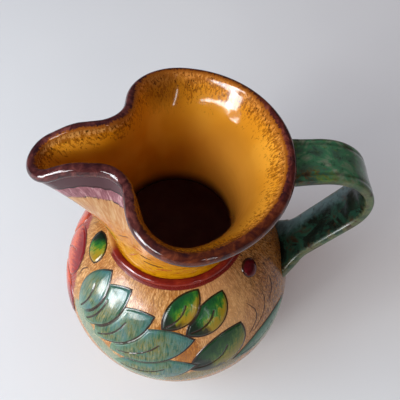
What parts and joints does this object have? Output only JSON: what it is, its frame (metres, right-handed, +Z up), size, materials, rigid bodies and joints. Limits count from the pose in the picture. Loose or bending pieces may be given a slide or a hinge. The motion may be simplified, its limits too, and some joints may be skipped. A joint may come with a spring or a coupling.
{
  "type": "pouring jug",
  "caption": "Round glazed earthenware pouring jug with a flared neck, pinched spout, rolled rim, strap handle and raised slip leaves on the belly.",
  "frame": {"origin": "on the belly's axis, in the plane that the foot ring stands on", "axes": "+Z up along the belly's axis, +X towards the handle, so the spout points along -X"},
  "size_m": [0.1861, 0.1515, 0.2101],
  "materials": {
    "belly_glaze": "gloss",
    "bare_clay": "matte",
    "neck_glaze": "gloss",
    "bead_glaze": "gloss",
    "rim_glaze": "gloss",
    "handle_glaze": "gloss",
    "teal_slip": "gloss",
    "green_slip": "gloss",
    "petal_slip": "gloss",
    "eye_slip": "gloss",
    "berry_slip": "gloss"
  },
  "bodies": {
    "root": {"belly": "belly_glaze", "foot_ring": "bare_clay", "neck_funnel": "neck_glaze", "neck_bead": "bead_glaze", "rim_roll": "rim_glaze", "handle_strap": "handle_glaze", "flower_eye": "eye_slip", "front_teal_leaf_1": "teal_slip", "front_teal_leaf_2": "teal_slip", "front_teal_leaf_3": "teal_slip", "front_teal_leaf_4": "teal_slip", "front_teal_leaf_5": "teal_slip", "back_teal_leaf_1": "teal_slip", "back_teal_leaf_2": "teal_slip", "back_teal_leaf_3": "teal_slip", "back_teal_leaf_4": "teal_slip", "back_teal_leaf_5": "teal_slip", "front_green_leaf_1": "green_slip", "front_green_leaf_2": "green_slip", "front_green_leaf_3": "green_slip", "front_green_leaf_4": "green_slip", "back_green_leaf_1": "green_slip", "back_green_leaf_2": "green_slip", "back_green_leaf_3": "green_slip", "front_shoulder_leaf": "green_slip", "back_shoulder_leaf": "green_slip", "petal_1": "petal_slip", "petal_2": "petal_slip", "petal_3": "petal_slip", "petal_4": "petal_slip", "petal_5": "petal_slip", "petal_6": "petal_slip", "front_berry": "berry_slip", "back_berry": "berry_slip"}
  },
  "joints": []
}
